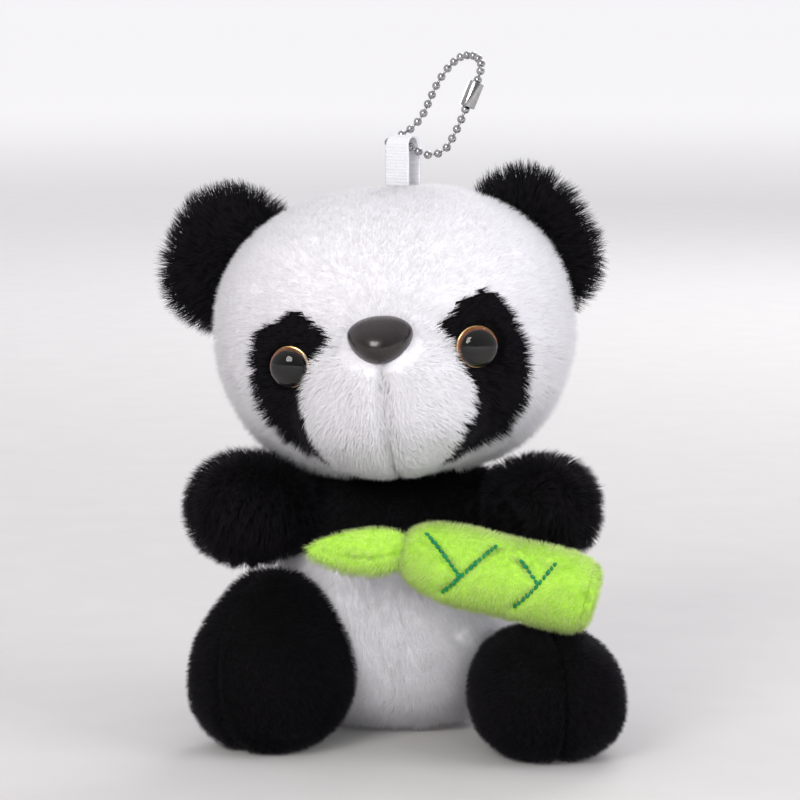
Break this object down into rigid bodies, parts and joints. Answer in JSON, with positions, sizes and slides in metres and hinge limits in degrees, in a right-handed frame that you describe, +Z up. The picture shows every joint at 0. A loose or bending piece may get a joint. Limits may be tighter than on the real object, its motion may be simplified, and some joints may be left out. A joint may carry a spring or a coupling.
{
  "type": "plush panda",
  "caption": "Seated plush panda with safety eyes, a ribbon loop with a ball chain, and a stuffed bamboo shoot across its belly.",
  "frame": {"origin": "on the floor, under the middle of the whole toy", "axes": "+Z up; the panda faces -Y; +X is to the right of someone who faces it"},
  "size_m": [0.0922, 0.0724, 0.1353],
  "materials": {
    "white_plush": "matte",
    "black_plush": "matte",
    "green_plush": "matte",
    "green_thread": "satin",
    "stuffing": "matte",
    "ribbon": "satin",
    "black_plastic": "gloss",
    "amber_plastic": "gloss",
    "clear_plastic": "gloss",
    "washer_plastic": "satin",
    "steel": "gloss"
  },
  "bodies": {
    "torso": {"belly_cover": "white_plush", "lower_back_cover": "white_plush", "shoulder_band": "black_plush", "torso_stuffing": "stuffing"},
    "head": {"face_cover": "white_plush", "back_of_head_cover": "white_plush", "head_stuffing": "stuffing", "snout_panel_left": "white_plush", "snout_panel_right": "white_plush", "nose": "black_plastic", "nose_washer": "washer_plastic", "eye_patch_left": "black_plush", "eye_back_left": "black_plastic", "eye_ring_left": "amber_plastic", "eye_dome_left": "clear_plastic", "eye_washer_left": "washer_plastic", "eye_patch_right": "black_plush", "eye_back_right": "black_plastic", "eye_ring_right": "amber_plastic", "eye_dome_right": "clear_plastic", "eye_washer_right": "washer_plastic"},
    "ear_left": {"ear_front_left": "black_plush", "ear_back_left": "black_plush"},
    "ear_right": {"ear_front_right": "black_plush", "ear_back_right": "black_plush"},
    "hanging_loop": {"ribbon_loop": "ribbon"},
    "chain": {"ball_chain": "steel", "chain_connector": "steel"},
    "arm_left": {"arm_left_front_panel": "black_plush", "arm_left_back_panel": "black_plush", "arm_left_stuffing": "stuffing"},
    "arm_right": {"arm_right_front_panel": "black_plush", "arm_right_back_panel": "black_plush", "arm_right_stuffing": "stuffing"},
    "leg_left": {"leg_left_outer_panel": "black_plush", "leg_left_inner_panel": "black_plush", "leg_left_stuffing": "stuffing"},
    "leg_right": {"leg_right_outer_panel": "black_plush", "leg_right_inner_panel": "black_plush", "leg_right_stuffing": "stuffing"},
    "bamboo": {"bamboo_stalk": "green_plush", "bamboo_stuffing": "stuffing", "bamboo_end_cap": "green_plush", "bamboo_leaf_front": "green_plush", "bamboo_leaf_back": "green_plush", "bamboo_embroidery_1": "green_thread", "bamboo_embroidery_2": "green_thread", "bamboo_tack_thread": "green_thread"}
  },
  "joints": [
    {"name": "neck_turn", "type": "hinge", "parent": "torso", "child": "head", "pos_m": [0.00125, 0.00787, 0.0513], "axis": [0, 0, 1], "range_deg": [-12, 12], "stiffness_Nm_per_rad": 0.06},
    {"name": "ear_left_fold", "type": "hinge", "parent": "head", "child": "ear_left", "pos_m": [-0.03197, 0.01379, 0.09368], "axis": [0.3737, -0.0261, 0.9272], "range_deg": [-10, 10], "stiffness_Nm_per_rad": 0.01},
    {"name": "ear_right_fold", "type": "hinge", "parent": "head", "child": "ear_right", "pos_m": [0.02877, 0.00847, 0.0976], "axis": [-0.5863, 0.041, 0.809], "range_deg": [-10, 10], "stiffness_Nm_per_rad": 0.01},
    {"name": "loop_sway", "type": "hinge", "parent": "head", "child": "hanging_loop", "pos_m": [0.00275, 0.01075, 0.11025], "axis": [0.8191, -0.5736, 0], "range_deg": [-15, 15], "stiffness_Nm_per_rad": 0.01},
    {"name": "chain_swing", "type": "hinge", "parent": "hanging_loop", "child": "chain", "pos_m": [0.00275, 0.01075, 0.1172], "axis": [0.8191, -0.5736, 0], "range_deg": [-15, 15]},
    {"name": "arm_left_swing", "type": "hinge", "parent": "torso", "child": "arm_left", "pos_m": [-0.01663, 0.00205, 0.046], "axis": [0, 0, 1], "range_deg": [-10, 10], "stiffness_Nm_per_rad": 0.02},
    {"name": "arm_right_swing", "type": "hinge", "parent": "torso", "child": "arm_right", "pos_m": [0.01871, 0.00029, 0.04685], "axis": [0, 0, 1], "range_deg": [0, 12], "stiffness_Nm_per_rad": 0.02},
    {"name": "leg_left_splay", "type": "hinge", "parent": "torso", "child": "leg_left", "pos_m": [-0.01551, -0.00303, 0.0162], "axis": [0, 0, -1], "range_deg": [-6, 8], "stiffness_Nm_per_rad": 0.03},
    {"name": "leg_right_splay", "type": "hinge", "parent": "torso", "child": "leg_right", "pos_m": [0.02095, 0.00237, 0.0122], "axis": [0, 0, 1], "range_deg": [-6, 8], "stiffness_Nm_per_rad": 0.03},
    {"name": "bamboo_swing", "type": "hinge", "parent": "torso", "child": "bamboo", "pos_m": [0.00866, -0.00931, 0.04004], "axis": [-0.247, 0, -0.969], "range_deg": [0, 8], "stiffness_Nm_per_rad": 0.02}
  ]
}
